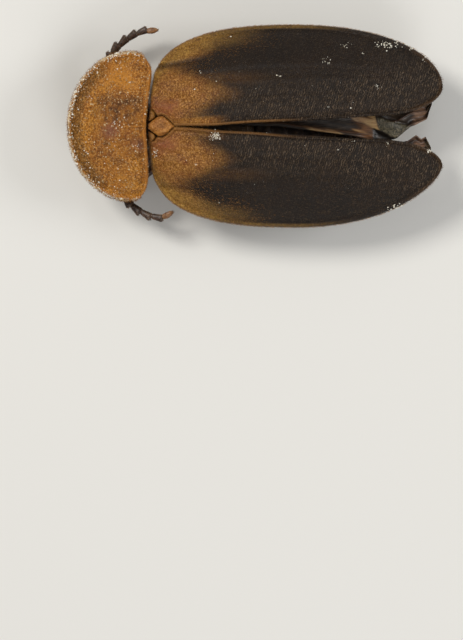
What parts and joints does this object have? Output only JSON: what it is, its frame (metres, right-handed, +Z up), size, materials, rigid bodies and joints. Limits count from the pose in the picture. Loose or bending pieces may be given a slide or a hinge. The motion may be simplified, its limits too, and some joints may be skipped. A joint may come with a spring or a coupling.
{
  "type": "firefly",
  "caption": "Dried male firefly, a flat soft-bodied beetle: hood-like pronotum over the head, long parted wing cases, folded hind wings and legs, pale light organ.",
  "frame": {"origin": "on the table, under the middle of the outline", "axes": "+Z up, head towards -Y, the insect's left side towards +X"},
  "size_m": [0.0084, 0.0156, 0.0042],
  "materials": {
    "amber_cuticle": "dried orange-brown chitin, finely granular with a short golden down, mottled darker on the disc",
    "wing_case": "blackish brown leathery chitin with fine wrinkled pits and short golden hairs, orange-brown at the base and edge",
    "wing_membrane": "smoky, slightly glossy folded membrane with raised veins",
    "eye": "glossy black compound eye with a fine grain of facets",
    "mouthpart_cuticle": "dark brown chitin, orange around the mouth",
    "leg_cuticle": "dark brown hairy chitin, orange at the joints",
    "belly_cuticle": "crumpled dark brown chitin with pale grains along each edge",
    "light_organ": "shrunken cream and orange cuticle with chalky white granular ridges"
  },
  "bodies": {
    "root": {"pronotum": "amber_cuticle", "scutellum": "amber_cuticle", "prothorax": "amber_cuticle", "mesothorax": "amber_cuticle", "metathorax": "amber_cuticle", "head": "mouthpart_cuticle", "eye_left": "eye", "eye_right": "eye", "mandible_left": "mouthpart_cuticle", "mandible_right": "mouthpart_cuticle", "palp_left": "mouthpart_cuticle", "palp_right": "mouthpart_cuticle", "antenna_left": "leg_cuticle", "antenna_right": "leg_cuticle", "elytron_left": "wing_case", "elytron_right": "wing_case", "hindwing_left": "wing_membrane", "hindwing_right": "wing_membrane", "abdomen_1": "belly_cuticle", "abdomen_2": "belly_cuticle", "abdomen_3": "belly_cuticle", "abdomen_4": "belly_cuticle", "abdomen_back": "belly_cuticle", "light_organ_1": "light_organ", "light_organ_2": "light_organ", "light_organ_3": "light_organ", "light_organ_4": "light_organ", "coxa_front_left": "leg_cuticle", "femur_front_left": "leg_cuticle", "tibia_front_left": "leg_cuticle", "tarsus_front_left": "leg_cuticle", "coxa_middle_left": "leg_cuticle", "femur_middle_left": "leg_cuticle", "tibia_middle_left": "leg_cuticle", "tarsus_middle_left": "leg_cuticle", "coxa_hind_left": "leg_cuticle", "femur_hind_left": "leg_cuticle", "tibia_hind_left": "leg_cuticle", "tarsus_hind_left": "leg_cuticle", "coxa_front_right": "leg_cuticle", "femur_front_right": "leg_cuticle", "tibia_front_right": "leg_cuticle", "tarsus_front_right": "leg_cuticle", "coxa_middle_right": "leg_cuticle", "femur_middle_right": "leg_cuticle", "tibia_middle_right": "leg_cuticle", "tarsus_middle_right": "leg_cuticle", "coxa_hind_right": "leg_cuticle", "femur_hind_right": "leg_cuticle", "tibia_hind_right": "leg_cuticle", "tarsus_hind_right": "leg_cuticle"}
  },
  "joints": []
}
